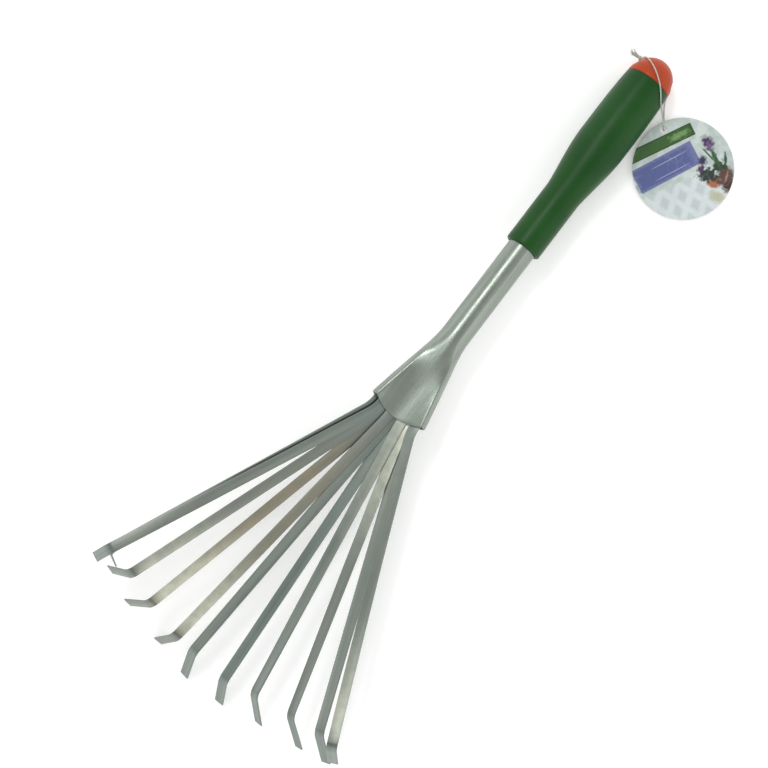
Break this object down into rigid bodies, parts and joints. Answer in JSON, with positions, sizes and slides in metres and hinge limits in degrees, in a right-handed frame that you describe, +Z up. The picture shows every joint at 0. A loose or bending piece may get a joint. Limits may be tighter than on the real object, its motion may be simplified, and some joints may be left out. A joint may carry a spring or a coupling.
{
  "type": "hand rake",
  "caption": "Short-handled garden rake with a fan of flat spring-steel tines, a steel tube handle, a moulded grip with a domed cap, and a round hang tag on a string.",
  "frame": {"origin": "on the floor the rake lies on, under the middle of the box around the rake without its tag and string", "axes": "+Y from the tines to the butt of the handle, +Z up from the floor, +X to the side the tag lies on"},
  "size_m": [0.1698, 0.417, 0.0493],
  "materials": {
    "spring_steel": "satin zinc plated",
    "tube_steel": "bright zinc plated",
    "green_plastic": "glossy",
    "orange_plastic": "glossy",
    "printed_card": "satin laminated",
    "string": "translucent thread"
  },
  "bodies": {
    "rake": {"tine_01": "spring_steel", "tine_02": "spring_steel", "tine_03": "spring_steel", "tine_04": "spring_steel", "tine_05": "spring_steel", "tine_06": "spring_steel", "tine_07": "spring_steel", "tine_08": "spring_steel", "tine_09": "spring_steel", "tine_10": "spring_steel", "tine_11": "spring_steel", "handle_tube": "tube_steel", "grip": "green_plastic", "end_cap": "orange_plastic", "tag_string": "string", "string_knot": "string"},
    "tag": {"hang_tag": "printed_card"}
  },
  "joints": [
    {"name": "tag_swing", "type": "hinge", "parent": "rake", "child": "tag", "pos_m": [0.0198, 0.182, 0.0012], "axis": [0, 0, 1], "range_deg": [-25, 40]}
  ]
}
